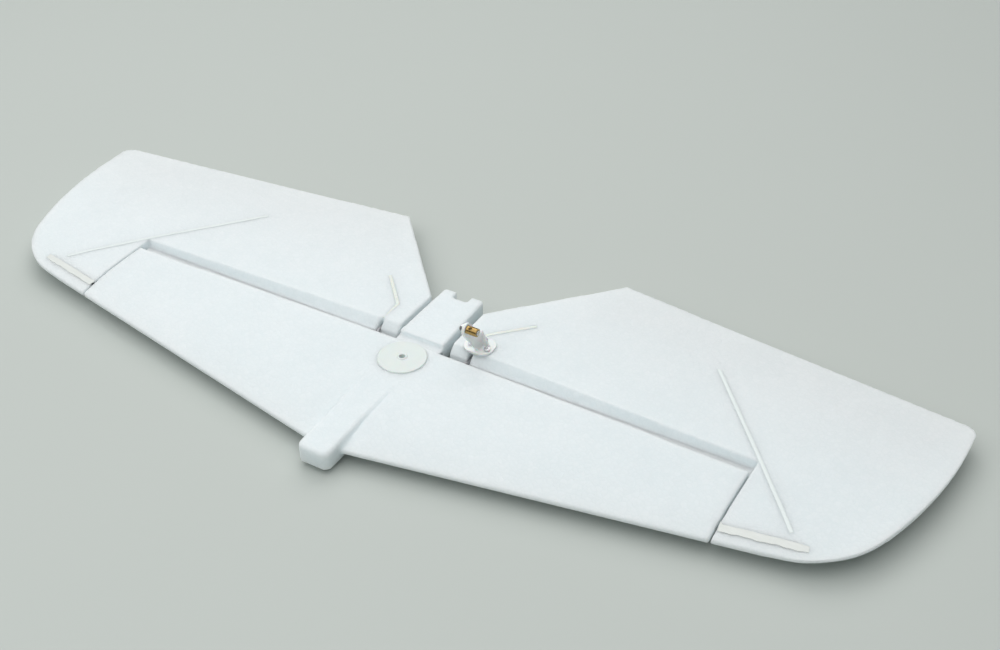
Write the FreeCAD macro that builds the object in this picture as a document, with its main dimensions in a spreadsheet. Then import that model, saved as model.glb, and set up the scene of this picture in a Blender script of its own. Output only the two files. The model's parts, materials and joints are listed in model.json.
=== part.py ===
"""Foam tail unit of a model aeroplane: a screwed-on tailplane with a pair of joined elevators.

Frame, in millimetres: the origin is on the axis of the tail screw, at the underside of the centre
saddle. +X points to the right-hand tip, +Y aft to the trailing edge and +Z up.
"""
import FreeCAD, Part
import math
import os
import re

import Sketcher

Vector = FreeCAD.Vector
Rotation = FreeCAD.Rotation
Placement = FreeCAD.Placement

# alias: (value in millimetres or degrees, meaning)
DIMENSIONS = {
    # foam panels
    "foam_top": (11.0, "height of the flat top of the panels at the centre"),
    "tip_drop": (1.0, "how much lower the top is at the tips"),
    "centre_thickness": (8.0, "panel thickness at the hinge, at the centre"),
    "tip_thickness": (5.2, "panel thickness at the hinge, at the tips"),
    "half_span": (257.8, "centre line to tip"),
    "nose_y": (-67.4, "leading edge at the centre line"),
    "nose_sweep": (0.183, "leading edge, aft per sideways millimetre"),
    "tail_y": (117.3, "trailing edge line carried to the centre line"),
    "tail_taper": (0.104, "trailing edge, forward per sideways millimetre"),
    "tail_drop": (2.2, "top of the trailing edge below the flat top"),
    "tail_thickness": (2.0, "thickness of the trailing edge"),
    "nose_run": (46.0, "length of the top curve behind the leading edge, at the centre"),
    "nose_run_tip": (24.0, "the same at the tips"),
    "nose_drop": (4.8, "top of the nose below the flat top, at the centre"),
    "nose_drop_tip": (1.8, "the same at the tips"),
    "nose_round": (2.1, "radius of the nose"),
    "nose_lip": (0.8, "where the top curve meets the nose, behind the leading edge"),
    "tool_reach": (8.0, "how far the cutting tools run past the foam"),
    "overlap": (0.5, "how deep fused shapes reach into each other"),
    # elevator outline
    "root_gap_x": (15.5, "inner edge of the elevators"),
    "root_rear_y": (51.0, "where the inner edge turns outwards"),
    "cutback_x": (68.0, "where the slanted inner edge meets the trailing edge"),
    "tip_start_x": (207.9, "leading edge: start of the tip curve"),
    "tip_trim_x": (195.9, "from here the tip's outline trims the leading edge"),
    "tip_trim": (0.15, "depth of that trim"),
    "tip_front_x": (242.2, "end of the tight front curve of the tip"),
    "tip_front_y": (-1.4, "end of the tight front curve of the tip"),
    "tip_front_round": (45.0, "radius of the front curve of the tip"),
    "tip_side_round": (213.0, "radius of the long outer curve of the tip"),
    "tip_side_y": (82.0, "rear end of the outer curve"),
    "tip_corner_x": (250.4, "trailing edge: start of the tip corner"),
    "tip_corner_round": (7.8, "radius of the rear tip corner"),
    # hinge line
    "hinge_y": (15.0, "hinge axis"),
    "hinge_z": (5.7, "hinge axis"),
    "hinge_rear_y": (12.0, "rear face of the tailplane at the centre"),
    "hinge_taper": (0.011, "rear face, forward per sideways millimetre"),
    "web_thickness": (1.0, "foam web along the hinge"),
    "web_gap": (0.25, "web end to hinge axis, each side"),
    "web_inner_x": (29.0, "inner end of the web"),
    "bevel_foot_y": (17.5, "foot of the elevator bevel"),
    "bevel_top_y": (23.0, "top edge of the bevel, carried to the centre line"),
    "bevel_taper": (0.026, "bevel top edge, forward per sideways millimetre"),
    "belly_bevel": (3.0, "how far the lower bevel runs aft of the hinge axis"),
    "stab_end_x": (177.4, "outer end of the tailplane"),
    "horn_balance_x": (178.4, "inner wall of the balance horns"),
    # centre body
    "tongue_half_width": (8.7, "half width of the front tongue"),
    "tongue_front_y": (-75.5, "front face of the tongue"),
    "tongue_top": (11.15, "top of the tongue where it meets the panels"),
    "tongue_front_top": (9.9, "top of the tongue at its front face"),
    "tongue_round": (4.0, "corner radius of the tongue, seen from above"),
    "tongue_edge": (2.0, "rounding of the upper front edge of the tongue"),
    "block_front_y": (17.5, "front face of the rear block"),
    "block_rear_y": (58.5, "rear face of the rear block"),
    "block_half_front": (12.7, "half width of the block in front"),
    "block_half_rear": (11.7, "half width of the block behind"),
    "block_top": (11.8, "top of the block"),
    "block_round": (1.6, "rounding of the block's rear corners"),
    "notch_half_width": (4.3, "half width of the fin notch"),
    "notch_depth": (5.0, "depth of the fin notch"),
    "crease_floor": (9.2, "floor of the crease between the plate and the block"),
    # tail screw plate
    "plate_radius": (12.25, "round pressure plate"),
    "plate_thickness": (1.0, "round pressure plate"),
    "plate_chamfer": (0.3, "upper edge of the plate"),
    "plate_sink": (0.6, "how deep the plate sits in the foam"),
    "sleeve_radius": (2.5, "sleeve through the foam"),
    "sleeve_rise": (0.4, "sleeve above the plate"),
    "bolt_radius": (1.6, "clearance hole for the tail screw"),
    # joiner
    "wire_radius": (1.0, "steel joiner wire"),
    "wire_bend": (3.0, "bend radius of the wire's centre line"),
    "wire_play": (0.2, "clearance of the wire where it enters the elevators"),
    "arm_x": (26.5, "wire arm, sideways"),
    "arm_y": (36.2, "where the arm turns outwards"),
    "arm_end_x": (44.5, "end of the arm"),
    "arm_end_y": (55.7, "end of the arm"),
    "glue_depth": (0.6, "top of the glue over the straight arm below the surface"),
    "tube_bore": (1.06, "joiner tube, inside radius"),
    "tube_radius": (1.6, "joiner tube, outside radius"),
    "tube_half_length": (11.0, "joiner tube"),
    # stiffeners and balance weights
    "strip_inner_x": (137.0, "stiffener, rear end"),
    "strip_inner_y": (70.5, "stiffener, rear end"),
    "strip_outer_x": (207.0, "stiffener, front end"),
    "strip_outer_y": (-15.5, "stiffener, front end"),
    "strip_width": (2.0, "stiffener"),
    "strip_floor": (6.6, "underside of the stiffener"),
    "weight_radius": (1.5, "balance weight rod"),
    "weight_length": (36.0, "balance weight rod"),
    "weight_setback": (8.2, "rod axis behind the leading edge"),
    "weight_z": (6.95, "rod axis"),
    "slot_length": (39.0, "slot of the balance weight"),
    # control horn
    "blade_x": (29.0, "middle of the horn's blade"),
    "blade_thickness": (1.5, "horn blade"),
    "blade_foot_front_y": (22.2, "front of the blade's foot"),
    "blade_foot_rear_y": (33.0, "rear of the blade's foot"),
    "blade_eye_y": (13.0, "eye of the blade"),
    "blade_eye_z": (31.0, "eye of the blade"),
    "blade_eye_round": (3.3, "half width of the blade at the eye"),
    "blade_head_round": (3.32, "rounding around the eye"),
    "blade_lean": (30, "degrees, how far the blade leans forward"),
    "eye_radius": (1.05, "hole of the eye"),
    "spare_eye_radius": (0.8, "second hole below the eye"),
    "spare_eye_back": (2.7, "second hole, aft of the eye"),
    "spare_eye_drop": (4.6, "second hole, below the eye"),
    "flange_x": (28.4, "middle of the horn base"),
    "flange_half_width": (7.8, "horn base"),
    "flange_front_y": (19.8, "horn base"),
    "flange_rear_y": (33.4, "horn base"),
    "flange_round": (5.6, "corners of the horn base"),
    "flange_thickness": (1.3, "horn base"),
    "flange_sink": (0.5, "horn base below the foam's top"),
    "rib_y": (27.4, "middle of the horn's side ribs"),
    "rib_thickness": (1.2, "side ribs"),
    "rib_reach": (4.0, "side ribs along the base"),
    "rib_height": (8.5, "side ribs up the blade"),
    "screw_offset": (4.55, "horn screws from the blade"),
    "screw_y": (24.6, "horn screws"),
    "screw_radius": (1.0, "horn screw shank"),
    "screw_head_radius": (1.6, "horn screw head"),
    "screw_head_height": (1.1, "horn screw head"),
    "driver_slot": (0.4, "width and depth of the screwdriver slots"),
    "backplate_top": (4.2, "top of the plate under the elevator"),
    "backplate_thickness": (1.4, "plate under the elevator"),
    # pushrod connector
    "barrel_radius": (2.1, "connector barrel"),
    "barrel_length": (5.8, "connector barrel"),
    "stem_radius": (1.0, "connector stem"),
    "stem_end": (0.4, "stem beyond the nut"),
    "face_gap": (0.1, "barrel and washer to the blade"),
    "washer_radius": (2.1, "washer"),
    "washer_thickness": (0.4, "washer"),
    "nut_radius": (1.9, "nut, across corners"),
    "nut_height": (1.3, "nut"),
    "pushrod_radius": (0.9, "cross hole for the pushrod"),
    "pushrod_offset": (2.2, "cross hole from the barrel's inner face"),
    "pushrod_rise": (65, "degrees from level to the cross hole's axis"),
    "grub_radius": (1.2, "set screw"),
    "grub_bore": (1.3, "axial hole for the set screw"),
    "grub_length": (2.9, "set screw"),
    "grub_rise": (0.3, "set screw beyond the barrel"),
}

SIDES = (("left", -1), ("right", 1))

doc = FreeCAD.newDocument("tail_unit")
sheet = doc.addObject("Spreadsheet::Sheet", "Dimensions")
for row, (alias, (number, meaning)) in enumerate(DIMENSIONS.items(), start=1):
    sheet.set(f"A{row}", alias)
    sheet.set(f"B{row}", str(number))
    sheet.setAlias(f"B{row}", alias)
    sheet.set(f"C{row}", meaning)
doc.recompute()


def bound(text):
    """The expression with every alias in it spelled as a cell of the sheet."""
    def cell(word):
        return "Dimensions." + word[0] if word[0] in DIMENSIONS else word[0]
    return re.sub(r"[a-z][a-z_]*", cell, str(text))


def size(text):
    """The present value of an expression in the sheet's aliases."""
    return float(sheet.evalExpression(bound(text)))


def bind(item, **expressions):
    for name, text in expressions.items():
        item.setExpression(name, bound(text))
    return item


# ---------------------------------------------------------------- sketches and solids

def new_body(name):
    body = doc.addObject("PartDesign::Body", name)
    body.Label = name
    return body


def origin_plane(body, role):
    return next(plane for plane in body.Origin.OriginFeatures if plane.Role == role)


def new_sketch(body, name, role, offset="0"):
    """An empty sketch on one of the body's origin planes, shifted along the plane's normal."""
    sketch = body.newObject("Sketcher::SketchObject", name)
    sketch.AttachmentSupport = (origin_plane(body, role), "")
    sketch.MapMode = "FlatFace"
    sketch.setExpression(".AttachmentOffset.Base.z", bound(offset))
    return sketch


def arc_between(start, end, radius):
    """The shorter arc from start to end: anticlockwise for a positive radius, else clockwise."""
    chord = end - start
    rise = math.sqrt(max(radius * radius - chord.Length ** 2 / 4, 0.0))
    left = Vector(-chord.y, chord.x, 0).normalize()
    centre = (start + end) * 0.5 + left * (rise if radius > 0 else -rise)
    first, last = (start, end) if radius > 0 else (end, start)
    angles = [math.atan2(p.y - centre.y, p.x - centre.x) for p in (first, last)]
    circle = Part.Circle(centre, Vector(0, 0, 1), abs(radius))
    return Part.ArcOfCircle(circle, *angles)


def draw(sketch, corners, closed=True):
    """Lines and arcs through the corners, each held by two distances from the sketch's origin.

    A corner is (x, y), or (x, y, radius) where the stretch that leaves it is an arc.
    """
    places = [Vector(size(corner[0]), size(corner[1]), 0) for corner in corners]
    count = len(corners)
    stretches = count if closed else count - 1
    ends = []
    for index in range(stretches):
        start, end = places[index], places[(index + 1) % count]
        if len(corners[index]) == 3:
            radius = size(corners[index][2])
            sketch.addGeometry(arc_between(start, end, radius), False)
            ends.append((1, 2) if radius > 0 else (2, 1))
        else:
            sketch.addGeometry(Part.LineSegment(start, end), False)
            ends.append((1, 2))
    for index in range(stretches if closed else stretches - 1):
        following = (index + 1) % stretches
        sketch.addConstraint(Sketcher.Constraint("Coincident", index, ends[index][1],
                                                 following, ends[following][0]))
    for index, corner in enumerate(corners):
        edge, point = (index, ends[index][0]) if index < stretches else (index - 1, ends[-1][1])
        for kind, text, place in (("X", corner[0], places[index].x), ("Y", corner[1], places[index].y)):
            hold(sketch, Sketcher.Constraint("Distance" + kind, -1, 1, edge, point, place),
                 f"corner{index}_{kind}", text)
        if len(corner) == 3:
            hold(sketch, Sketcher.Constraint("Radius", index, abs(size(corner[2]))),
                 f"radius{index}", f"abs({corner[2]})")
    return sketch


def hold(sketch, constraint, name, text):
    number = sketch.addConstraint(constraint)
    sketch.renameConstraint(number, name)
    sketch.setExpression(".Constraints." + name, bound(text))


def draw_circle(sketch, across, along, radius):
    centre = Vector(size(across), size(along), 0)
    edge = sketch.addGeometry(Part.Circle(centre, Vector(0, 0, 1), size(radius)), False)
    hold(sketch, Sketcher.Constraint("DistanceX", -1, 1, edge, 3, centre.x), f"centre{edge}_X", across)
    hold(sketch, Sketcher.Constraint("DistanceY", -1, 1, edge, 3, centre.y), f"centre{edge}_Y", along)
    hold(sketch, Sketcher.Constraint("Radius", edge, size(radius)), f"radius{edge}", radius)
    return sketch


def pad(body, sketch, length):
    feature = body.newObject("PartDesign::Pad", sketch.Name + "_pad")
    feature.Profile = sketch
    return bind(feature, Length=length)


def pocket(body, sketch, length):
    """Cuts along the sketch's normal, and stops the script if nothing was cut."""
    doc.recompute()
    before = body.Shape.Volume
    feature = body.newObject("PartDesign::Pocket", sketch.Name + "_pocket")
    feature.Profile = sketch
    feature.Reversed = True
    bind(feature, Length=length)
    doc.recompute()
    if body.Shape.Volume > before - 0.01:
        raise RuntimeError(sketch.Name + " cuts nothing")
    return feature


def cylinder(name, radius, length, base, axis=Vector(0, 0, 1)):
    item = doc.addObject("Part::Cylinder", name)
    bind(item, Radius=radius, Height=length)
    item.Placement = Placement(Vector(*map(size, base)), Rotation(Vector(0, 0, 1), axis))
    return item


def box(name, low, high):
    """A box between two corners given as expressions."""
    item = doc.addObject("Part::Box", name)
    bind(item, Length=f"({high[0]}) - ({low[0]})", Width=f"({high[1]}) - ({low[1]})",
         Height=f"({high[2]}) - ({low[2]})")
    item.Placement = Placement(Vector(*map(size, low)), Rotation())
    return item


def bar(name, start, end, width, floor, ceiling, overrun="0"):
    """An upright bar of the given width whose middle line runs in plan from start to end."""
    first, last = (Vector(size(p[0]), size(p[1]), size(floor)) for p in (start, end))
    run = last - first
    sideways = Vector(-run.y, run.x, 0).normalize() * (size(width) / 2)
    item = doc.addObject("Part::Box", name)
    length = f"sqrt(({end[0]} - ({start[0]}))^2 + ({end[1]} - ({start[1]}))^2) + {overrun}"
    bind(item, Length=length, Width=width, Height=f"({ceiling}) - ({floor})")
    item.Placement = Placement(first - sideways, Rotation(Vector(1, 0, 0), run))
    return item


def fuse(name, shapes):
    item = doc.addObject("Part::MultiFuse", name)
    item.Shapes = shapes
    item.Refine = True
    return item


def cut(name, base, tool):
    item = doc.addObject("Part::Cut", name)
    item.Base, item.Tool = base, tool
    return item


def carve(name, base, tools):
    """Takes the tools out of the base one after another; the last step has the name."""
    for step, tool in enumerate(tools, start=1):
        left = cut(name if step == len(tools) else f"{name}_step{step}", base, tool)
        doc.recompute()
        if left.Shape.Volume > base.Shape.Volume - 1:
            raise RuntimeError(f"{tool.Label} takes nothing out of {name}")
        base = left
    return base


def common(name, base, tool):
    item = doc.addObject("Part::Common", name)
    item.Base, item.Tool = base, tool
    return item


# ---------------------------------------------------------------- foam panels

def panel_section(body, name, across):
    """The panel's chordwise section at one place across the span."""
    part = f"(abs({across}) / half_span)"
    nose = f"(nose_y + nose_sweep * abs({across}))"
    tail = f"(tail_y - tail_taper * abs({across}))"
    top = f"(foam_top - tip_drop * {part})"
    bottom = f"({top} - centre_thickness + (centre_thickness - tip_thickness) * {part})"
    run = f"(nose_run + (nose_run_tip - nose_run) * {part})"
    drop = f"(nose_drop + (nose_drop_tip - nose_drop) * {part})"
    lip = "nose_lip"
    curve = f"((({run} - {lip})^2 + {drop}^2) / (2 * {drop}))"
    sketch = new_sketch(body, name, "YZ_Plane", across)
    return draw(sketch, [
        (tail, f"{top} - tail_drop - tail_thickness"),
        (tail, f"{top} - tail_drop"),
        ("bevel_top_y", top),
        (f"{nose} + {run}", top, curve),
        (f"{nose} + {lip}", f"{top} - {drop}", "nose_round"),
        (f"{nose} + 2 * {lip}", bottom),
        ("hinge_y", bottom),
    ])


def panel_envelope(name, places):
    """The whole panel, nose to tail, lofted between its sections."""
    body = new_body(name)
    sections = [panel_section(body, f"{name}_section{index}", place)
                for index, place in enumerate(places)]
    loft = body.newObject("PartDesign::AdditiveLoft", name + "_loft")
    loft.Profile = sections[0]
    loft.Sections = sections[1:]
    loft.Ruled = True
    return body


def plan_prism(name, corners):
    """An upright prism on a plan outline, tall enough to hold the panels."""
    body = new_body(name)
    sketch = draw(new_sketch(body, name + "_outline", "XY_Plane", "-foam_top"), corners)
    pad(body, sketch, "3 * foam_top")
    return body


def nose_at(across):
    return f"(nose_y + nose_sweep * ({across}))"


def tail_at(across):
    return f"(tail_y - tail_taper * ({across}))"


def stabiliser():
    """The fixed foam: both front panels, the front tongue, the saddle and the rear block."""
    envelope = panel_envelope("front_envelope", ["-stab_end_x", "0", "stab_end_x"])
    rear_end = "hinge_rear_y - hinge_taper * stab_end_x"
    outline = plan_prism("front_outline", [
        ("-stab_end_x", "nose_y - tool_reach"), ("stab_end_x", "nose_y - tool_reach"),
        ("stab_end_x", rear_end), ("0", "hinge_rear_y"), ("-stab_end_x", rear_end)])
    panels = common("front_panels", envelope, outline)

    tongue = new_body("tongue")
    half, front = "tongue_half_width", "tongue_front_y"
    profile = new_sketch(tongue, "tongue_profile", "YZ_Plane", f"-{half}")
    draw(profile, [(front, "0"), ("hinge_rear_y", "0"), ("hinge_rear_y", "foam_top"),
                   ("-plate_radius", "tongue_top"), (front, "tongue_front_top")])
    pad(tongue, profile, f"2 * {half}")
    doc.recompute()
    soften(tongue, "tongue_corners", "tongue_round",
           lambda edge: edge.BoundBox.ZLength > size("tongue_front_top") - 0.01
           and edge.CenterOfMass.y < size(front) + 0.01)
    doc.recompute()
    soften(tongue, "tongue_softened", "tongue_edge",
           lambda edge: edge.CenterOfMass.z > size("tongue_front_top") - 0.01
           and edge.BoundBox.YMax < size("tongue_front_y + 2 * tongue_round"))

    block = new_body("rear_block")
    near, far, notch = "block_half_front", "block_half_rear", "notch_half_width"
    floor = "block_rear_y - notch_depth"
    sketch = draw(new_sketch(block, "block_outline", "XY_Plane"), [
        (f"-{near}", "block_front_y"), (near, "block_front_y"),
        (far, "block_rear_y"), (notch, "block_rear_y"), (notch, floor), (f"-{notch}", floor),
        (f"-{notch}", "block_rear_y"), (f"-{far}", "block_rear_y")])
    pad(block, sketch, "block_top")
    doc.recompute()
    soften(block, "block_softened", "block_round",
           lambda edge: edge.BoundBox.ZLength > size("block_top") - 0.01
           and edge.CenterOfMass.y > size("block_rear_y") - 0.01
           and abs(edge.CenterOfMass.x) > size(f"{notch} + block_round"))

    bridge = box("bridge", ("-block_half_front", "hinge_rear_y - overlap", "0"),
                 ("block_half_front", "block_front_y + overlap", "crease_floor"))
    foam = fuse("fixed_foam", [panels, tongue, block, bridge])
    seat = cylinder("plate_seat", "plate_radius", "foam_top", ("0", "0", "foam_top - plate_sink"))
    hole = cylinder("sleeve_hole", "sleeve_radius", "3 * foam_top", ("0", "0", "-foam_top"))
    slot = box("joiner_slot", ("-block_half_front - overlap", "hinge_y - tube_radius", "-overlap"),
               ("block_half_front + overlap", "hinge_y + tube_radius", "hinge_z + tube_radius"))
    return carve("stabiliser", foam, [seat, hole, slot])


def soften(body, name, radius, wanted):
    """Rounds the edges of the body's last feature that the test picks."""
    base = body.Tip
    edges = [f"Edge{number}" for number, edge in enumerate(base.Shape.Edges, start=1) if wanted(edge)]
    if not edges:
        raise RuntimeError(name + " finds no edge")
    feature = body.newObject("PartDesign::Fillet", name)
    feature.Base = (base, edges)
    return bind(feature, Radius=radius)


def groove(name, side, corners_at):
    """A wedge that clears the hinge line, from the root gap to the balance horn's inner wall."""
    body = new_body(name)
    inner, outer = "(root_gap_x - 2)", "horn_balance_x"
    sections = []
    for index, across in enumerate((inner, outer)):
        sketch = new_sketch(body, f"{name}_section{index}", "YZ_Plane", f"{side} * {across}")
        sections.append(draw(sketch, corners_at(across)))
    loft = body.newObject("PartDesign::AdditiveLoft", name + "_loft")
    loft.Profile = sections[0]
    loft.Sections = sections[1:]
    loft.Ruled = True
    return body


def upper_wedge(across):
    """Above the web: the floor, then the bevel carried on past the top surface."""
    floor = "hinge_z + web_thickness / 2"
    edge = f"(bevel_top_y - bevel_taper * {across})"
    rise = f"(foam_top - ({floor}))"
    over = f"({edge} + ({edge} - bevel_foot_y) * tool_reach / {rise})"
    return [("hinge_y - tool_reach", floor), ("bevel_foot_y", floor), (over, "foam_top + tool_reach"),
            ("hinge_y - tool_reach", "foam_top + tool_reach")]


def lower_wedge(across):
    """Below the web: a short bevel on the underside, from the hinge axis aft."""
    ceiling = "hinge_z - web_thickness / 2"
    front = "hinge_y + web_gap"
    bottom = "foam_top - centre_thickness"
    slope = f"(belly_bevel - web_gap) / ({ceiling} - ({bottom}))"
    low = f"{bottom} - tool_reach"
    return [("hinge_y - tool_reach", low), (f"hinge_y + belly_bevel + tool_reach * {slope}", low),
            (front, ceiling), ("hinge_y - tool_reach", ceiling)]


def weight_line(side):
    """Start and end, in plan, of the balance weight's axis."""
    tilt = "cos(atan(nose_sweep))"
    start_y = f"{nose_at('horn_balance_x')} + weight_setback"
    end_x = f"horn_balance_x + weight_length * {tilt}"
    end_y = f"{start_y} + nose_sweep * weight_length * {tilt}"
    return (f"{side} * horn_balance_x", start_y), (f"{side} * ({end_x})", end_y)


def elevator(label, side):
    """One elevator half with its inlaid stiffener, joiner glue, balance weight and glue."""
    envelope = panel_envelope(f"{label}_envelope", ["0", f"{side} * half_span"])
    front = "hinge_y + web_gap"
    outline = [
        ("root_gap_x", front), ("horn_balance_x", front),
        ("horn_balance_x", f"{nose_at('horn_balance_x')} - tool_reach"),
        ("tip_trim_x", f"{nose_at('horn_balance_x')} - tool_reach"),
        ("tip_trim_x", f"{nose_at('tip_trim_x')} + tip_trim"),
        ("tip_start_x", f"{nose_at('tip_start_x')} + tip_trim", "tip_front_round"),
        ("tip_front_x", "tip_front_y", "tip_side_round"),
        ("half_span - 0.2", "tip_side_y", "tip_corner_round"),
        ("tip_corner_x", tail_at("tip_corner_x")),
        ("cutback_x", tail_at("cutback_x")), ("root_gap_x", "root_rear_y")]
    if side < 0:
        outline = [(f"-({c[0]})", c[1]) + tuple(f"-{r}" for r in c[2:]) for c in outline]
    panel = common(f"{label}_panel", envelope, plan_prism(f"{label}_outline", outline))

    top = "foam_top + tool_reach"
    arm = (f"{side} * arm_x", "arm_y")
    arm_end = (f"{side} * arm_end_x", "arm_end_y")
    slot_start = (f"{side} * arm_x", "hinge_y")
    wire_floor, wire_top = "hinge_z - wire_radius", "hinge_z + wire_radius"
    strip = bar(f"{label}_strip_bar", (f"{side} * strip_inner_x", "strip_inner_y"),
                (f"{side} * strip_outer_x", "strip_outer_y"), "strip_width", "strip_floor", top)
    weight_start, weight_end = weight_line(side)
    weight_slot = bar(f"{label}_weight_slot", weight_start, weight_end, "2 * weight_radius",
                      "weight_z", top, "slot_length - weight_length")
    weight_axis = Vector(side, size("nose_sweep"), 0)
    weight = cylinder(f"balance_weight_{label}", "weight_radius", "weight_length",
                      (weight_start[0], weight_start[1], "weight_z"), weight_axis)
    low_x, high_x = sorted([f"{side} * (root_gap_x - 2)", f"{side} * (arm_x + wire_radius + overlap)"],
                           key=size)
    tools = horn_seats() if side > 0 else []
    tools += [
        groove(f"{label}_upper_groove", side, upper_wedge),
        groove(f"{label}_lower_groove", side, lower_wedge),
        box(f"{label}_joiner_room", (low_x, "hinge_y - tool_reach", f"{wire_floor} - wire_play"),
            (high_x, "hinge_y + wire_bend + wire_play", f"{wire_top} + wire_play")),
        bar(f"{label}_arm_slot", slot_start, arm, "2 * wire_radius", wire_floor, top, "overlap"),
        bar(f"{label}_splay_slot", arm, arm_end, "2 * wire_radius", wire_floor, top),
        strip, weight_slot, weight]
    foam = carve(f"elevator_{label}", panel, tools)

    inlay = common(f"stiffener_{label}", panel, strip)
    straight = bar(f"{label}_arm_fill", (arm[0], "bevel_top_y"), arm, "2 * wire_radius",
                   wire_top, "foam_top - glue_depth")
    splayed = bar(f"{label}_splay_fill", arm, arm_end, "2 * wire_radius", wire_top, top)
    glue = common(f"joiner_glue_{label}", panel, fuse(f"{label}_fill", [straight, splayed]))
    cap = cut(f"{label}_cap_room", weight_slot, weight)
    weight_glue = common(f"balance_glue_{label}", panel, cap)
    return [foam, inlay, glue, weight, weight_glue]


def hinge_web(label, side):
    """The thin foam web that carries the hinge, from the tailplane's rear face to the axis."""
    body = new_body(f"hinge_web_{label}")
    rear_inner = "hinge_rear_y - hinge_taper * web_inner_x"
    rear_outer = "hinge_rear_y - hinge_taper * stab_end_x"
    corners = [("web_inner_x", rear_inner), ("stab_end_x", rear_outer),
               ("stab_end_x", "hinge_y - web_gap"), ("web_inner_x", "hinge_y - web_gap")]
    if side < 0:
        corners = [(f"-{across}", along) for across, along in corners]
    sketch = draw(new_sketch(body, f"web_outline_{label}", "XY_Plane", "hinge_z - web_thickness / 2"),
                  corners)
    pad(body, sketch, "web_thickness")
    return body


# ---------------------------------------------------------------- centre hardware

def bolt_plate():
    """Round plastic plate with a sleeve through the foam for the tail screw."""
    body = new_body("bolt_plate")
    sheet_bottom = "foam_top - plate_sink"
    sheet_top = f"{sheet_bottom} + plate_thickness"
    sketch = draw(new_sketch(body, "plate_profile", "XZ_Plane"), [
        ("bolt_radius", "0"), ("sleeve_radius", "0"), ("sleeve_radius", sheet_bottom),
        ("plate_radius", sheet_bottom), ("plate_radius", f"{sheet_top} - plate_chamfer"),
        ("plate_radius - plate_chamfer", sheet_top), ("sleeve_radius", sheet_top),
        ("sleeve_radius", f"{sheet_top} + sleeve_rise"), ("bolt_radius", f"{sheet_top} + sleeve_rise")])
    turned = body.newObject("PartDesign::Revolution", "plate_turned")
    turned.Profile = sketch
    turned.ReferenceAxis = (sketch, ["V_Axis"])
    turned.Angle = 360
    return body


def joiner_tube():
    """Plastic tube in the channel behind the tailplane, in which the joiner wire turns."""
    body = new_body("joiner_tube")
    sketch = new_sketch(body, "tube_section", "YZ_Plane", "-tube_half_length")
    draw_circle(sketch, "hinge_y", "hinge_z", "tube_radius")
    draw_circle(sketch, "hinge_y", "hinge_z", "tube_bore")
    pad(body, sketch, "2 * tube_half_length")
    return body


def joiner_wire():
    """Bent steel wire on the hinge axis, with an arm into each elevator."""
    body = new_body("joiner_wire")
    turn = "(90 deg - atan((arm_end_y - arm_y) / (arm_end_x - arm_x)))"
    ease = f"(wire_bend * tan({turn} / 2))"
    path = draw(new_sketch(body, "wire_path", "XY_Plane", "hinge_z"), [
        ("0", "hinge_y"), ("arm_x - wire_bend", "hinge_y", "wire_bend"),
        ("arm_x", "hinge_y + wire_bend"), ("arm_x", f"arm_y - {ease}", "-wire_bend"),
        (f"arm_x + {ease} * sin({turn})", f"arm_y + {ease} * cos({turn})"),
        ("arm_end_x", "arm_end_y")], closed=False)
    section = draw_circle(new_sketch(body, "wire_section", "YZ_Plane"), "hinge_y", "hinge_z",
                          "wire_radius")
    pipe = body.newObject("PartDesign::AdditivePipe", "wire_half")
    pipe.Profile = section
    pipe.Spine = (path, [])
    doc.recompute()
    mirrored = body.newObject("PartDesign::Mirrored", "wire_mirrored")
    mirrored.Originals = [pipe]
    mirrored.MirrorPlane = (origin_plane(body, "YZ_Plane"), [""])
    body.Tip = mirrored
    return body


# ---------------------------------------------------------------- control horn

def flange_corners():
    """The rounded base of the horn, seen from above."""
    left, right = "flange_x - flange_half_width", "flange_x + flange_half_width"
    front, rear, turn = "flange_front_y", "flange_rear_y", "flange_round"
    return [
        (f"{left} + {turn}", front), (f"{right} - {turn}", front, turn),
        (right, f"{front} + {turn}"), (right, f"{rear} - {turn}", turn),
        (f"{right} - {turn}", rear), (f"{left} + {turn}", rear, turn),
        (left, f"{rear} - {turn}"), (left, f"{front} + {turn}", turn)]


def screw_places():
    return [f"blade_x {sign} screw_offset" for sign in "-+"]


def horn_seats():
    """Tools that seat the horn, its backplate and its screws in the foam."""
    top_seat = new_body("horn_seat")
    pad(top_seat, draw(new_sketch(top_seat, "horn_seat_outline", "XY_Plane", "foam_top - flange_sink"),
                       flange_corners()), "tool_reach")
    low_seat = new_body("backplate_seat")
    pad(low_seat, draw(new_sketch(low_seat, "backplate_seat_outline", "XY_Plane", "-overlap"),
                       flange_corners()), "backplate_top + overlap")
    holes = [cylinder(f"screw_room{index}", "screw_radius", "2 * foam_top", (place, "screw_y", "0"))
             for index, place in enumerate(screw_places())]
    return [top_seat, low_seat] + holes


def drill(body, name, places, radius, floor, depth):
    """Upright holes through a flat piece."""
    sketch = new_sketch(body, name, "XY_Plane", floor)
    for place in places:
        draw_circle(sketch, place, "screw_y", radius)
    return pocket(body, sketch, depth)


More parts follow.
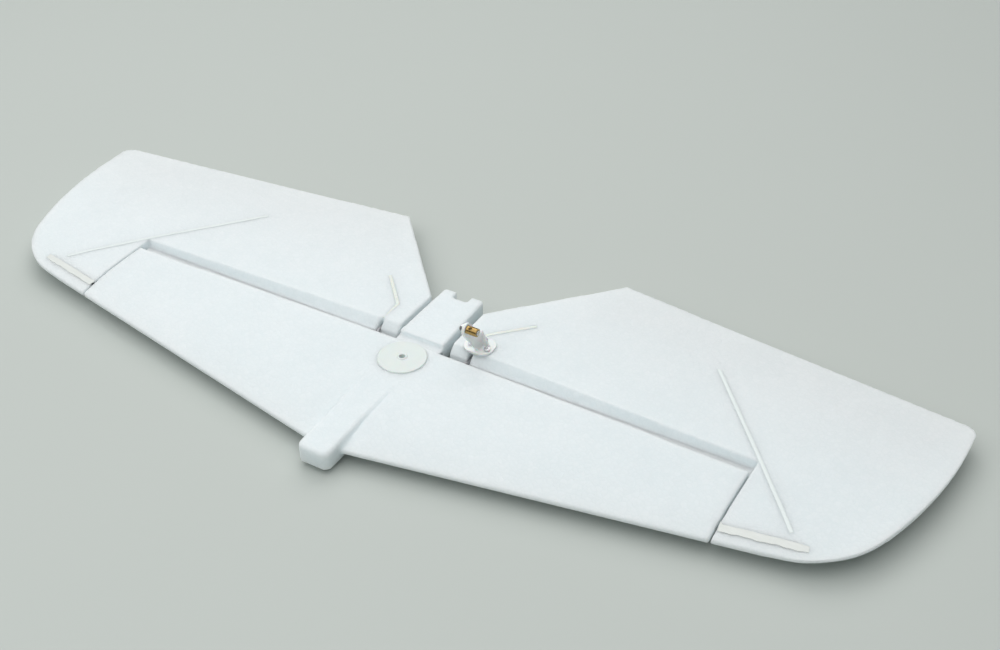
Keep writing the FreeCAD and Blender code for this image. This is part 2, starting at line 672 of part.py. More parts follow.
def control_horn():
    """Nylon horn: a base with a forward-leaning blade and a rib on each side."""
    body = new_body("control_horn")
    floor = "foam_top - flange_sink"
    deck = f"({floor} + flange_thickness)"
    pad(body, draw(new_sketch(body, "horn_base", "XY_Plane", floor), flange_corners()),
        "flange_thickness")
    across, along = "blade_eye_round * cos(blade_lean * 1 deg)", "blade_eye_round * sin(blade_lean * 1 deg)"
    blade = draw(new_sketch(body, "horn_blade", "YZ_Plane", "blade_x - blade_thickness / 2"), [
        ("blade_foot_front_y", f"{deck} - overlap"), ("blade_foot_rear_y", f"{deck} - overlap"),
        (f"blade_eye_y + {across}", f"blade_eye_z + {along}", "blade_head_round"),
        (f"blade_eye_y - {across}", f"blade_eye_z - {along}")])
    pad(body, blade, "blade_thickness")
    foot_y = "rib_y + rib_thickness / 2"
    rib = draw(new_sketch(body, "horn_ribs", "XZ_Plane", f"-({foot_y})"), [
        ("blade_x - blade_thickness / 2 - rib_reach", f"{deck} - overlap"),
        ("blade_x + blade_thickness / 2 + rib_reach", f"{deck} - overlap"),
        ("blade_x + blade_thickness / 4", f"{deck} + rib_height"),
        ("blade_x - blade_thickness / 4", f"{deck} + rib_height")])
    pad(body, rib, "rib_thickness")
    eyes = new_sketch(body, "horn_eyes", "YZ_Plane", "blade_x - blade_thickness")
    draw_circle(eyes, "blade_eye_y", "blade_eye_z", "eye_radius")
    draw_circle(eyes, "blade_eye_y + spare_eye_back", "blade_eye_z - spare_eye_drop", "spare_eye_radius")
    pocket(body, eyes, "2 * blade_thickness")
    drill(body, "horn_screw_holes", screw_places(), "screw_radius", f"{floor} - overlap",
          "flange_thickness + 2 * overlap")
    return body


def horn_backplate():
    """Plate under the elevator that the horn screws bite into."""
    body = new_body("horn_backplate")
    floor = "backplate_top - backplate_thickness"
    pad(body, draw(new_sketch(body, "backplate_outline", "XY_Plane", floor), flange_corners()),
        "backplate_thickness")
    drill(body, "backplate_holes", screw_places(), "screw_radius", f"{floor} - overlap",
          "backplate_thickness + 2 * overlap")
    return body


def horn_screws():
    """Two pan-head screws through the horn, the foam and the backplate, with cross slots."""
    seat = "foam_top - flange_sink + flange_thickness"
    tip = "backplate_top - backplate_thickness"
    head_top = f"{seat} + screw_head_height"
    screws = []
    for index, place in enumerate(screw_places()):
        shank = cylinder(f"screw_shank{index}", "screw_radius", f"{seat} - ({tip}) + overlap",
                         (place, "screw_y", tip))
        head = cylinder(f"screw_head{index}", "screw_head_radius", "screw_head_height",
                        (place, "screw_y", seat))
        slots = [bar(f"screw_slot{index}_{way}",
                     (f"{place} - {across}", f"screw_y - {along}"),
                     (f"{place} + {across}", f"screw_y + {along}"), "driver_slot",
                     f"{head_top} - driver_slot", f"{head_top} + overlap")
                 for way, (across, along) in enumerate((("screw_radius", "0"), ("0", "screw_radius")))]
        solid = fuse(f"screw{index}", [shank, head])
        screws.append(cut(f"screw_cut{index}", solid, fuse(f"screw_cross{index}", slots)))
    group = doc.addObject("Part::Compound", "horn_screws")
    group.Links = screws
    return group


# ---------------------------------------------------------------- pushrod connector

ALONG_X = Vector(1, 0, 0)
EYE = ("blade_eye_y", "blade_eye_z")
INNER_FACE = "blade_x + blade_thickness / 2 + face_gap"
OUTER_FACE = "blade_x - blade_thickness / 2 - face_gap"


def connector_barrel():
    """Brass barrel on a stem that turns in the horn's eye, cross-drilled for the pushrod."""
    barrel = cylinder("barrel", "barrel_radius", "barrel_length", (INNER_FACE, *EYE), ALONG_X)
    stem_length = "blade_thickness + 2 * face_gap + washer_thickness + nut_height + stem_end"
    stem = cylinder("stem", "stem_radius", f"{stem_length} + overlap",
                    (f"{INNER_FACE} - ({stem_length})", *EYE), ALONG_X)
    rise = math.radians(size("pushrod_rise"))
    cross = cylinder("pushrod_hole", "pushrod_radius", "4 * barrel_radius",
                     (f"{INNER_FACE} + pushrod_offset",
                      "blade_eye_y - 2 * barrel_radius * cos(pushrod_rise * 1 deg)",
                      "blade_eye_z + 2 * barrel_radius * sin(pushrod_rise * 1 deg)"),
                     Vector(0, math.cos(rise), -math.sin(rise)))
    axial = cylinder("grub_hole", "grub_bore", "barrel_length",
                     (f"{INNER_FACE} + pushrod_offset", *EYE), ALONG_X)
    solid = fuse("barrel_and_stem", [barrel, stem])
    return cut("connector_barrel", solid, fuse("barrel_holes", [cross, axial]))


def connector_washer():
    face = f"{OUTER_FACE} - washer_thickness"
    disc = cylinder("washer_disc", "washer_radius", "washer_thickness", (face, *EYE), ALONG_X)
    hole = cylinder("washer_hole", "stem_radius", "washer_thickness", (face, *EYE), ALONG_X)
    return cut("connector_washer", disc, hole)


def connector_nut():
    """Hexagon nut pressed on the end of the stem."""
    face = f"{OUTER_FACE} - washer_thickness - nut_height"
    body = new_body("connector_nut")
    sketch = new_sketch(body, "nut_outline", "YZ_Plane", face)
    corners = [(f"blade_eye_y + nut_radius * cos({60 * step})",
                f"blade_eye_z + nut_radius * sin({60 * step})") for step in range(6)]
    draw(sketch, corners)
    pad(body, sketch, "nut_height")
    bore = draw_circle(new_sketch(body, "nut_bore", "YZ_Plane", f"{face} - overlap"), *EYE, "stem_radius")
    pocket(body, bore, "nut_height + 2 * overlap")
    return body


def set_screw():
    """Slotted set screw in the barrel's end."""
    start = f"{INNER_FACE} + barrel_length + grub_rise - grub_length"
    shank = cylinder("grub", "grub_radius", "grub_length", (start, *EYE), ALONG_X)
    end = f"{start} + grub_length"
    slot = box("grub_slot",
               (f"{end} - driver_slot", "blade_eye_y - barrel_radius", "blade_eye_z - driver_slot / 2"),
               (f"{end} + overlap", "blade_eye_y + barrel_radius", "blade_eye_z + driver_slot / 2"))
    return cut("set_screw", shank, slot)


# ---------------------------------------------------------------- the whole unit

def build():
    pieces = [stabiliser(), bolt_plate(), joiner_tube(), joiner_wire()]
    for label, side in SIDES:
        pieces += elevator(label, side)
        pieces.append(hinge_web(label, side))
    pieces += [control_horn(), horn_backplate(), horn_screws()]
    pieces += [connector_barrel(), connector_washer(), connector_nut(), set_screw()]
    doc.recompute()
    return pieces


def check(pieces):
    for item in doc.Objects:
        if {"Invalid", "Error"} & set(item.State):
            raise RuntimeError(f"{item.Label} failed: {item.State}")
    for piece in pieces:
        if piece.Shape.isNull() or not piece.Shape.isValid() or piece.Shape.Volume <= 0:
            raise RuntimeError(f"{piece.Label} has no valid shape")


def write(pieces):
    os.makedirs("parts", exist_ok=True)
    for piece in pieces:
        piece.Shape.exportStep(f"parts/{piece.Label}.step")
        room = piece.Shape.BoundBox
        print(f"{piece.Label:24s} {piece.Shape.Volume:10.1f} mm3  solids {len(piece.Shape.Solids)}  "
              f"x {room.XMin:.1f} {room.XMax:.1f}  y {room.YMin:.1f} {room.YMax:.1f}  "
              f"z {room.ZMin:.1f} {room.ZMax:.1f}")


PIECES = build()
check(PIECES)
write(PIECES)
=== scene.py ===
import json
import math

import bmesh
import bpy
import numpy as np
from mathutils import Matrix, Vector


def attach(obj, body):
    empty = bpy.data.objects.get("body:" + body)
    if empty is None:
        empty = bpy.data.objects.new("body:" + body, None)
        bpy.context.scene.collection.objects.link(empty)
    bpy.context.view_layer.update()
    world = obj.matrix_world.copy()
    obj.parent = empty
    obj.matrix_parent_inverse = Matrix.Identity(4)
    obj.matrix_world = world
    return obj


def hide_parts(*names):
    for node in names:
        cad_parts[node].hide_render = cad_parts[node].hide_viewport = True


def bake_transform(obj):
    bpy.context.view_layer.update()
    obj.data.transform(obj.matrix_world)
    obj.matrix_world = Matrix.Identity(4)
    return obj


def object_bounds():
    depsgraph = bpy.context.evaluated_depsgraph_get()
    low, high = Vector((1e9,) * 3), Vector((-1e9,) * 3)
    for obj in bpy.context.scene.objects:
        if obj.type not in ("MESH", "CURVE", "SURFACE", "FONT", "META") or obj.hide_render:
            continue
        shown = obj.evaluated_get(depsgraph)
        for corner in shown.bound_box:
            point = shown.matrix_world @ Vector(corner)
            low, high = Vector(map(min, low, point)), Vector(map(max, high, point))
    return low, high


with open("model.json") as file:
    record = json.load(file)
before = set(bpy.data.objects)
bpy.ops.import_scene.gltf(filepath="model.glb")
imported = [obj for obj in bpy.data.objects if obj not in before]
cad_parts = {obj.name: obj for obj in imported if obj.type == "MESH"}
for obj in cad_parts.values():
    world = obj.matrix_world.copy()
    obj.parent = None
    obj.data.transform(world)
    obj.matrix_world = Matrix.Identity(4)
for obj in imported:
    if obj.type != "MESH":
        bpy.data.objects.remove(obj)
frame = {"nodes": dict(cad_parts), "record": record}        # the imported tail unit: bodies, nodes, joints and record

# Looks of a moulded bead-foam tail unit. Everything is in metres, in the row frame: the origin is on
# the tail screw's axis at the underside, +X is the right tip, +Y is aft and +Z is up.

MM = 0.001
CAD_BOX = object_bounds()
SIDES = (("left", -1), ("right", 1))

# the planform, as in the CAD
FOAM_TOP = 11.0 * MM
TIP_DROP = 1.0 * MM
HALF_SPAN = 257.8 * MM
NOSE_Y, NOSE_SWEEP = -67.4 * MM, 0.183
TIP_FRONT_CENTRE, TIP_FRONT_RADIUS = (199.9 * MM, 15.1 * MM), 45.0 * MM
TIP_FRONT_END = 14.0 * MM       # the front arc ends this far ahead of its centre
TIP_SIDE_CENTRE, TIP_SIDE_RADIUS = (44.8 * MM, 78.4 * MM), 213.0 * MM
BALANCE_X, WEIGHT_SETBACK = 178.4 * MM, 8.2 * MM
HINGE = Vector((0.0, 15.0 * MM, 5.7 * MM))

# a dark and a light tone of each material, in linear RGB
FOAM_TONES = (0.785, 0.855, 0.875), (0.845, 0.905, 0.925)
GLUE_TONES = (0.76, 0.80, 0.735), (0.87, 0.905, 0.86)
FILLER_TONES = (0.72, 0.755, 0.72), (0.84, 0.875, 0.85)
FIBRE_TONES = (0.80, 0.87, 0.865), (0.84, 0.905, 0.90)
NYLON_TONES = (0.87, 0.90, 0.89), (0.93, 0.95, 0.94)
PLATE_TONES = (0.755, 0.82, 0.795), (0.785, 0.85, 0.825)
TUBE_TONES = (0.60, 0.62, 0.58), (0.70, 0.72, 0.68)
BRASS_TONES = (0.26, 0.155, 0.05), (0.52, 0.36, 0.14)
STEEL_TONES = (0.50, 0.51, 0.52), (0.72, 0.73, 0.74)
WIRE_TONES = (0.30, 0.30, 0.31), (0.46, 0.46, 0.47)
ROD_TONES = (0.07, 0.07, 0.075), (0.16, 0.16, 0.165)
FLOOR_TONES = (0.545, 0.585, 0.555), (0.560, 0.600, 0.570)

# the part of a noise's range that is spread out: the narrower, the harder its patches
SOFT_PATCHES = 0.3, 0.7
HARD_PATCHES = 0.35, 0.65


# ---------------------------------------------------------------- materials

class Nodes:
    """A short way to write a material's node tree."""

    def __init__(self, name, **settings):
        self.material = bpy.data.materials.new(name)
        self.material.use_nodes = True
        self.tree = self.material.node_tree
        self.shader = self.tree.nodes["Principled BSDF"]
        self.place = self.add("ShaderNodeTexCoord").outputs["Object"]
        for key, value in settings.items():
            self.shader.inputs[key.replace("_", " ")].default_value = value

    def add(self, kind, **settings):
        node = self.tree.nodes.new(kind)
        for key, value in settings.items():
            setattr(node, key, value)
        return node

    def wire(self, source, target):
        self.tree.links.new(source, target)

    def stretch(self, scale, turn=0.0):
        """Stretches and turns the pattern of the textures that are added next."""
        node = self.add("ShaderNodeMapping")
        node.inputs["Scale"].default_value = scale
        node.inputs["Rotation"].default_value = (0, 0, turn)
        self.wire(self.place, node.inputs["Vector"])
        self.place = node.outputs["Vector"]

    def voronoi(self, cell, feature="F1"):
        node = self.add("ShaderNodeTexVoronoi", feature=feature)
        node.inputs["Scale"].default_value = 1 / cell
        self.wire(self.place, node.inputs["Vector"])
        return node

    def noise(self, grain, detail=3.0, roughness=0.5):
        node = self.add("ShaderNodeTexNoise")
        node.inputs["Scale"].default_value = 1 / grain
        node.inputs["Detail"].default_value = detail
        node.inputs["Roughness"].default_value = roughness
        self.wire(self.place, node.inputs["Vector"])
        return node.outputs["Fac"]

    def spread(self, source, low, high, start=0.0, end=1.0):
        """Maps start..end of the source onto low..high."""
        node = self.add("ShaderNodeMapRange")
        for key, value in (("From Min", start), ("From Max", end), ("To Min", low), ("To Max", high)):
            node.inputs[key].default_value = value
        self.wire(source, node.inputs["Value"])
        return node.outputs["Result"]

    def maths(self, operation, first, second):
        node = self.add("ShaderNodeMath", operation=operation)
        self.wire(first, node.inputs[0])
        self.wire(second, node.inputs[1])
        return node.outputs["Value"]

    def tint(self, factor, dark, light):
        """A colour between dark and light."""
        node = self.add("ShaderNodeMix", data_type="RGBA")
        node.inputs["A"].default_value = (*dark, 1)
        node.inputs["B"].default_value = (*light, 1)
        self.wire(factor, node.inputs["Factor"])
        return node.outputs["Result"]

    def bump(self, height, depth, strength=1.0, after=None):
        node = self.add("ShaderNodeBump")
        node.inputs["Strength"].default_value = strength
        node.inputs["Distance"].default_value = depth
        self.wire(height, node.inputs["Height"])
        if after:
            self.wire(after, node.inputs["Normal"])
        return node.outputs["Normal"]

    def finish(self, colour, rough, normal):
        for source, name in ((colour, "Base Color"), (rough, "Roughness"), (normal, "Normal")):
            self.wire(source, self.shader.inputs[name])
        return self.material


def foam_material():
    """White expanded foam: fused beads with fine seams, under a moulded skin."""
    bead = 2.6 * MM
    m = Nodes("bead_foam", Specular_IOR_Level=0.25, Subsurface_Weight=0.85, Subsurface_Scale=0.006,
              Subsurface_Radius=(1.0, 1.0, 1.0))
    seams = m.voronoi(bead, "DISTANCE_TO_EDGE").outputs["Distance"]
    tone = m.add("ShaderNodeSeparateColor")
    m.wire(m.voronoi(bead).outputs["Color"], tone.inputs["Color"])
    per_bead = m.spread(tone.outputs["Red"], -0.16, 0.16)
    seam_light = m.spread(seams, 0.0, 0.35, 0.0, 0.16)
    cloud = m.spread(m.noise(28 * MM, 4), -0.25, 0.25, *SOFT_PATCHES)
    grain = m.spread(m.noise(0.5 * MM, 2), -0.12, 0.12, *SOFT_PATCHES)
    factor = m.maths("ADD", m.maths("ADD", m.maths("ADD", seam_light, per_bead), cloud), grain)
    colour = m.tint(m.spread(factor, 0.0, 1.0, -0.2, 1.0), *FOAM_TONES)
    rough = m.spread(m.noise(3 * MM), 0.62, 0.82, *SOFT_PATCHES)
    dome = m.bump(m.spread(seams, 0.0, 1.0, 0.0, 0.25), 0.08 * MM, 0.8)
    return m.finish(colour, rough, m.bump(m.noise(0.45 * MM, 2), 0.02 * MM, 0.6, dome))


def smooth_plastic(name, tones, rough, **settings):
    """Moulded plastic with a faint cloudy tone and a fine matt grain."""
    m = Nodes(name, **settings)
    colour = m.tint(m.noise(6 * MM), *tones)
    sheen = m.spread(m.noise(2 * MM), rough - 0.06, rough + 0.08, *SOFT_PATCHES)
    return m.finish(colour, sheen, m.bump(m.noise(0.9 * MM), 0.01 * MM, 0.6))


def glue_material():
    """Hardened cream glue, glossy where it pooled and matt where it dragged."""
    m = Nodes("glue", Subsurface_Weight=0.2, Subsurface_Scale=0.001, Specular_IOR_Level=0.5)
    colour = m.tint(m.noise(3 * MM, 4), *GLUE_TONES)
    rough = m.spread(m.noise(2 * MM), 0.22, 0.6, *HARD_PATCHES)
    return m.finish(colour, rough, m.bump(m.noise(1.3 * MM, 4), 0.12 * MM, 0.7))


def filler_material():
    """A thin grey-beige film of filler dragged over the foam."""
    m = Nodes("filler", Specular_IOR_Level=0.4)
    m.stretch((0.25, 1.0, 1.0), math.radians(10))
    colour = m.tint(m.noise(1.6 * MM, 5, 0.6), *FILLER_TONES)
    rough = m.spread(m.noise(1.5 * MM), 0.3, 0.7, *HARD_PATCHES)
    return m.finish(colour, rough, m.bump(m.noise(0.9 * MM, 4), 0.1 * MM, 0.7))


def fibre_material():
    """Milky glass-fibre strip."""
    m = Nodes("fibre_strip", Specular_IOR_Level=0.5)
    colour = m.tint(m.noise(0.8 * MM, 4), *FIBRE_TONES)
    rough = m.spread(m.noise(1.0 * MM), 0.4, 0.6, *SOFT_PATCHES)
    return m.finish(colour, rough, m.bump(m.noise(0.4 * MM), 0.02 * MM, 0.6))


def metal(name, tones, rough):
    """Bare metal with drawn or turned lines and slight stains."""
    m = Nodes(name, Metallic=1.0)
    stains = m.noise(2.5 * MM, 4)
    m.stretch((1, 12, 12))
    lines = m.noise(1.5 * MM)
    colour = m.tint(stains, *tones)
    sheen = m.spread(m.maths("MULTIPLY", lines, stains), rough - 0.08, rough + 0.16, 0.1, 0.45)
    return m.finish(colour, sheen, m.bump(lines, 0.006 * MM, 0.5))


def floor_material():
    """A plain pale matt surface."""
    m = Nodes("pale_floor", Specular_IOR_Level=0.2)
    colour = m.tint(m.noise(250 * MM, 2), *FLOOR_TONES)
    rough = m.spread(m.noise(20 * MM, 2), 0.78, 0.86)
    return m.finish(colour, rough, m.bump(m.noise(0.8 * MM, 2), 0.01 * MM, 0.3))


FOAM = foam_material()
GLUE = glue_material()
FILLER = filler_material()
FIBRE = fibre_material()
NYLON = smooth_plastic("white_nylon", NYLON_TONES, 0.36,
                       Specular_IOR_Level=0.5, Subsurface_Weight=0.25, Subsurface_Scale=0.0012)
PLATE = smooth_plastic("milky_plate", PLATE_TONES, 0.42,
                       Specular_IOR_Level=0.35, Subsurface_Weight=0.15, Subsurface_Scale=0.001)
TUBE = smooth_plastic("tube_plastic", TUBE_TONES, 0.4)
BRASS = metal("turned_brass", BRASS_TONES, 0.22)
STEEL = metal("bright_steel", STEEL_TONES, 0.24)
WIRE = metal("spring_wire", WIRE_TONES, 0.34)
DARK_ROD = metal("dark_rod", ROD_TONES, 0.42)


# ---------------------------------------------------------------- mesh helpers

def linked(name, data):
    item = bpy.data.objects.new(name, data)
    bpy.context.scene.collection.objects.link(item)
    return item


def dress(piece, material):
    piece.data.materials.clear()
    piece.data.materials.append(material)


def body_of(node):
    bodies = frame["record"]["behaviour"]["bodies"]
    return next(body for body, nodes in bodies.items() if node in nodes)


def voxel_size(full):
    """A voxel size given in millimetres, returned in metres."""
    return (full) * MM


def baked(piece):
    """Applies the piece's modifiers to its mesh."""
    bpy.context.view_layer.update()
    evaluated = piece.evaluated_get(bpy.context.evaluated_depsgraph_get())
    mesh = bpy.data.meshes.new_from_object(evaluated)
    piece.modifiers.clear()
    piece.data = mesh
    return mesh


def welded(nodes):
    """One mesh of the given CAD nodes, with the vertices of neighbouring faces joined."""
    mesh = frame["nodes"][nodes[0]].data.copy()
    weld = bmesh.new()
    for node in nodes:
        weld.from_mesh(frame["nodes"][node].data)
    bmesh.ops.remove_doubles(weld, verts=weld.verts, dist=0.002 * MM)
    weld.to_mesh(mesh)
    weld.free()
    return mesh


def reshape(mesh, shape):
    """Moves the mesh's vertices by a function of their array of points."""
    points = np.empty(len(mesh.vertices) * 3, np.float32)
    mesh.vertices.foreach_get("co", points)
    points = shape(points.reshape(-1, 3).astype(float))
    mesh.vertices.foreach_set("co", points.astype(np.float32).ravel())
    mesh.update()


def soft_copy(node, name, material, voxel, rounds, shape=None, swell=0.0, inlays=()):
    """A copy of a CAD node with its edges softened: remeshed at a fine voxel, then relaxed.

    shape may move the vertices, given as an array of points, between the two steps. swell makes
    the piece a little larger all round. inlays are nodes that lie flush in this one: their slots are
    closed before the softening, so that no groove opens round them.
    """
    piece = linked(name, welded([node, *inlays]))
    remesh = piece.modifiers.new("voxels", "REMESH")
    remesh.mode = "VOXEL"
    remesh.voxel_size = voxel
    mesh = baked(piece)
    if shape:
        reshape(mesh, shape)
    if swell:
        grow = piece.modifiers.new("swell", "DISPLACE")
        grow.strength, grow.mid_level = swell, 0.0
    relax = piece.modifiers.new("relax", "SMOOTH")
    relax.factor = 0.5
    relax.iterations = rounds
    baked(piece).shade_smooth()
    dress(piece, material)
    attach(piece, body_of(node))
    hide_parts(node)


# ---------------------------------------------------------------- foam

RIM = 9.0 * MM          # width of the thinned border of the tips
RIM_KEEP = 0.42         # share of the thickness that is left at the very edge
RIM_START, RIM_EASE = 200.0 * MM, 26.0 * MM     # the thinning comes in gradually along the span

TONGUE_HALF_WIDTH, TONGUE_EDGE = 8.8 * MM, 0.5 * MM
RISE_Y = -75.5 * MM, -32.0 * MM, -18.0 * MM     # how proud the tongue's top stands, front to back
RISE = 0.15 * MM, 0.45 * MM, 0.0
CREASE_Y = -62.0 * MM, -54.0 * MM, -24.0 * MM, -14.0 * MM
CREASE = 0.0, 0.5 * MM, 0.4 * MM, 0.0           # how deep the crease beside the tongue is
CREASE_OFFSET, CREASE_WIDTH = 0.4 * MM, 0.5 * MM
UPPER_Z, UPPER_EASE = 7.0 * MM, 1.5 * MM        # below this height the foam stays as it is


def tip_distance(points):
    """Distance, in plan, from each point inwards to the curved tip outline."""
    x, y = np.abs(points[:, 0]), points[:, 1]
    front = TIP_FRONT_RADIUS - np.hypot(x - TIP_FRONT_CENTRE[0], y - TIP_FRONT_CENTRE[1])
    side = TIP_SIDE_RADIUS - np.hypot(x - TIP_SIDE_CENTRE[0], y - TIP_SIDE_CENTRE[1])
    outboard = x > TIP_FRONT_CENTRE[0]
    ahead = (y < TIP_FRONT_CENTRE[1] - TIP_FRONT_END) & outboard
    return np.where(ahead, front, np.where(outboard, side, RIM))


def thin_tips(points):
    """Brings the underside up towards the tip, so that its border is thin and soft."""
    inwards = np.clip(tip_distance(points) / RIM, 0, 1)
    outboard = np.clip((np.abs(points[:, 0]) - RIM_START) / RIM_EASE, 0, 1)
    keep = 1 - outboard * (1 - RIM_KEEP) * (1 - np.sqrt(1 - (1 - inwards) ** 2))
    top = FOAM_TOP - TIP_DROP * np.abs(points[:, 0]) / HALF_SPAN
    deep = points[:, 2] < top
    points[:, 2] = np.where(deep, top - (top - points[:, 2]) * keep, points[:, 2])
    return points


def proud_tongue(points):
    """Lets the tongue's top stand a little proud of the panels, with a shallow crease beside it."""
    x, y, z = np.abs(points[:, 0]), points[:, 1], points[:, 2]
    inside = np.clip((TONGUE_HALF_WIDTH - x) / TONGUE_EDGE, 0, 1)
    beside = np.exp(-((x - TONGUE_HALF_WIDTH - CREASE_OFFSET) / CREASE_WIDTH) ** 2)
    lift = np.interp(y, RISE_Y, RISE) * inside - np.interp(y, CREASE_Y, CREASE) * beside
    points[:, 2] += lift * np.clip((z - UPPER_Z) / UPPER_EASE, 0, 1)
    return points


def foam_pieces():
    voxel = voxel_size(0.7)
    soft_copy("stabiliser", "foam_tailplane", FOAM, voxel, 2, proud_tongue)
    for label, _ in SIDES:
        flush = [f"{inlay}_{label}" for inlay in ("stiffener", "joiner_glue", "balance_glue")]
        soft_copy(f"elevator_{label}", f"foam_elevator_{label}", FOAM, voxel, 2, thin_tips,
                  inlays=flush)


# ---------------------------------------------------------------- hinge

WEB_INNER, WEB_OUTER = 28.8 * MM, 177.3 * MM
WEB_FRONT, WEB_REAR = 11.8 * MM, 17.9 * MM      # from the tailplane's rear face to the bevel
WEB_SWEEP = 0.011
WEB_HALF, WEB_WAIST = 0.58 * MM, 0.25           # half thickness, and the share it loses midway
WEB_RINGS, WEB_STEPS = 60, 13


def web_ring(bm, x, side):
    """One closed section of the web, across the hinge: over the top and back underneath."""
    start = WEB_FRONT - WEB_SWEEP * x
    steps = np.linspace(0, 1, WEB_STEPS)
    ring = []
    for face, order in ((1, steps), (-1, steps[::-1])):
        for t in order:
            rise = face * WEB_HALF * (1 - WEB_WAIST * math.sin(math.pi * t))
            ring.append(bm.verts.new((side * x, start + (WEB_REAR - start) * t, HINGE.z + rise)))
    return ring


def web_mesh(label, side):
    bm = bmesh.new()
    rings = [web_ring(bm, x, side) for x in np.linspace(WEB_INNER, WEB_OUTER, WEB_RINGS)]
    for first, second in zip(rings, rings[1:]):
        for corners in zip(first, first[1:] + first[:1], second[1:] + second[:1], second):
            bm.faces.new(corners)
    for end in (rings[0], rings[-1]):
        bm.faces.new(end)
    bmesh.ops.recalc_face_normals(bm, faces=bm.faces)
    mesh = bpy.data.meshes.new(f"web_{label}")
    bm.to_mesh(mesh)
    bm.free()
    return mesh


def hinge_webs():
    """The thin foam web along the hinge, from the tailplane's rear face to the bevel."""
    for label, side in SIDES:
        web = linked(f"foam_web_{label}", web_mesh(label, side))
        dress(web, FOAM)
        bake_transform(web)
        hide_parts(f"hinge_web_{label}")


# ---------------------------------------------------------------- hardware

def plastic_parts():
    fine = voxel_size(0.16)
    soft_copy("control_horn", "nylon_horn", NYLON, fine, 3)
    soft_copy("horn_backplate", "nylon_backplate", NYLON, fine, 2)
    soft_copy("bolt_plate", "milky_bolt_plate", PLATE, fine, 2, swell=0.12 * MM)


def metal_parts():
    tiny = voxel_size(0.07)
    soft_copy("connector_barrel", "brass_barrel", BRASS, tiny, 2)
    for node in ("connector_nut", "set_screw", "horn_screws"):
        soft_copy(node, f"steel_{node.removeprefix('connector_')}", STEEL, tiny, 2)


# ---------------------------------------------------------------- inlays

INLAY_LIFT = 0.11 * MM
FILM_Z, FILM_EASE, FILM_LIFT = 8.2 * MM, 0.4 * MM, 0.05 * MM    # above this height it is spread
FILM_WIDTH = {"left": 1.3, "right": 2.0}
LONG_WAVE, LONG_SHARE = 2.3 * MM, 0.10          # the film's uneven edges
SHORT_WAVE, SHORT_SHARE = 0.9 * MM, 0.07


def lifted(points):
    """Raises an inlay by a hair, so that its top shows in the foam."""
    points[:, 2] += INLAY_LIFT
    return points


def film(side, width):
    """Spreads a filled slot's top sideways into a thin film that lies on the foam."""
    lean = math.atan(NOSE_SWEEP)
    start = np.array((side * BALANCE_X, NOSE_Y + NOSE_SWEEP * BALANCE_X + WEIGHT_SETBACK))
    along = np.array((side * math.cos(lean), math.sin(lean)))
    across = np.array((-along[1], along[0]))

    def spread(points):
        off = (points[:, :2] - start) @ across
        run = (points[:, :2] - start) @ along
        ragged = 1 + LONG_SHARE * np.sin(run / LONG_WAVE) + SHORT_SHARE * np.sin(run / SHORT_WAVE + 1)
        high = np.clip((points[:, 2] - FILM_Z) / FILM_EASE, 0, 1)
        points[:, :2] += np.outer(off * (width * ragged - 1) * high, across)
        points[:, 2] += FILM_LIFT * high
        return points
    return spread


def inlays():
    """Strips, glue and filler, whose tops show level with the foam."""
    fine = voxel_size(0.22)
    for label, side in SIDES:
        soft_copy(f"stiffener_{label}", f"fibre_stiffener_{label}", FIBRE, fine, 1, lifted)
        soft_copy(f"joiner_glue_{label}", f"cream_glue_{label}", GLUE, fine, 2, lifted)
        soft_copy(f"balance_glue_{label}", f"filler_{label}", FILLER, fine, 2,
                  film(side, FILM_WIDTH[label]))


def kept_as_built():
    """Round bars and a washer that need no softening: only their material changes."""
    for node, material in (("joiner_wire", WIRE), ("joiner_tube", TUBE), ("connector_washer", STEEL),
                           ("balance_weight_left", DARK_ROD), ("balance_weight_right", DARK_ROD)):
        dress(frame["nodes"][node], material)


# ---------------------------------------------------------------- stage

CAMERA_PLACE = Vector((0.3146, -0.4367, 0.4426))
CAMERA_AZIMUTH = math.radians(30.66)
CAMERA_ELEVATION = math.radians(37.56)
CAMERA_ROLL = math.radians(-0.574)
LENS, SENSOR = 50.72, 36.0
CLIP_START, CLIP_END = 0.01, 20.0
FLOOR_GAP = 3.0 * MM    # the unit stands slightly clear of the surface, so its shadow is deep and soft
FLOOR_REACH = 4.0
WORLD_COLOUR, WORLD_STRENGTH = (0.97, 1.0, 1.0, 1), 0.12


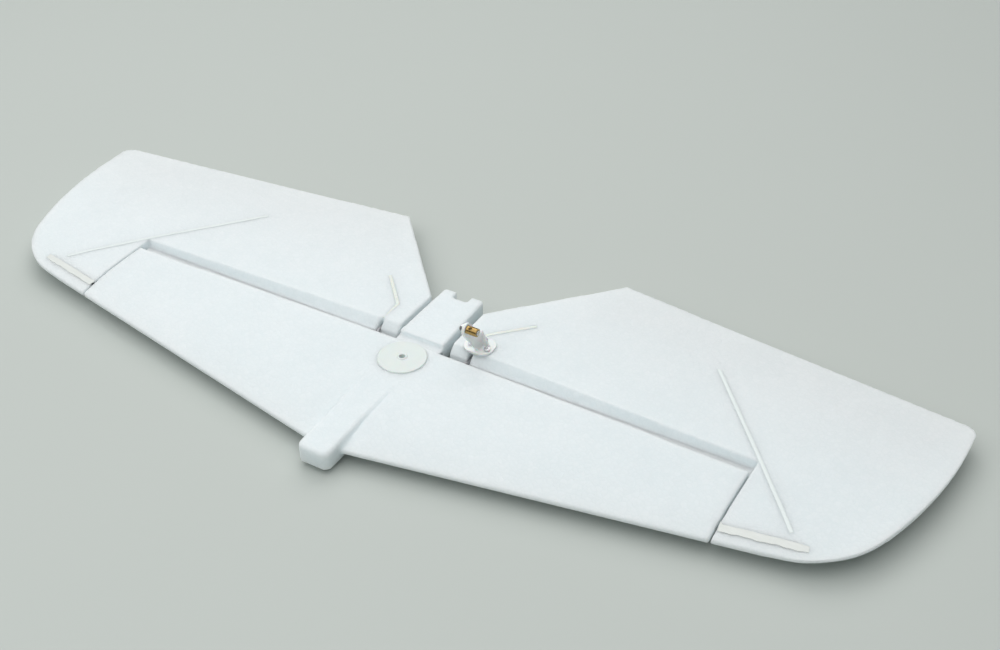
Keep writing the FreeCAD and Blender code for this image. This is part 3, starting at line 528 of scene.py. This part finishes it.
def camera():
    data = bpy.data.cameras.new("camera")
    data.lens, data.sensor_width = LENS, SENSOR
    data.clip_start, data.clip_end = CLIP_START, CLIP_END
    item = linked("camera", data)
    az, el = CAMERA_AZIMUTH, CAMERA_ELEVATION
    back = Vector((math.sin(az) * math.cos(el), -math.cos(az) * math.cos(el), math.sin(el)))
    right = Vector((math.cos(az), math.sin(az), 0))
    up = back.cross(right)
    turn_right = right * math.cos(CAMERA_ROLL) + up * math.sin(CAMERA_ROLL)
    turn_up = up * math.cos(CAMERA_ROLL) - right * math.sin(CAMERA_ROLL)
    rotation = Matrix((turn_right, turn_up, back)).transposed().to_4x4()
    item.matrix_world = Matrix.Translation(CAMERA_PLACE) @ rotation
    bpy.context.scene.camera = item


def area_light(name, place, aim, size, power):
    data = bpy.data.lights.new(name, "AREA")
    data.shape, data.size, data.size_y = "RECTANGLE", size[0], size[1]
    data.energy = power
    turn = (Vector(aim) - Vector(place)).to_track_quat("-Z", "Y").to_matrix().to_4x4()
    linked(name, data).matrix_world = Matrix.Translation(place) @ turn


def floor():
    """A plain pale surface under the unit."""
    z = CAD_BOX[0][2] - FLOOR_GAP
    corners = [(x * FLOOR_REACH, y * FLOOR_REACH, z) for x, y in ((-1, -1), (1, -1), (1, 1), (-1, 1))]
    mesh = bpy.data.meshes.new("floor")
    mesh.from_pydata(corners, [], [(0, 1, 2, 3)])
    mesh.materials.append(floor_material())
    linked("floor", mesh)


def light():
    world = bpy.data.worlds.new("studio")
    world.use_nodes = True
    world.node_tree.nodes["Background"].inputs["Color"].default_value = WORLD_COLOUR
    world.node_tree.nodes["Background"].inputs["Strength"].default_value = WORLD_STRENGTH
    bpy.context.scene.world = world
    area_light("softbox", place=(-0.25, -0.45, 1.1), aim=(-0.22, -0.30, 0), size=(2.3, 2.3), power=22.0)
    area_light("rear_softbox", place=(-0.35, 1.0, 1.15), aim=(-0.05, 0.0, 0), size=(1.5, 1.0), power=7.5)
    bpy.context.scene.view_settings.view_transform = "Standard"


def main():
    camera()
    floor()
    light()
    foam_pieces()
    hinge_webs()
    plastic_parts()
    metal_parts()
    inlays()
    kept_as_built()


main()
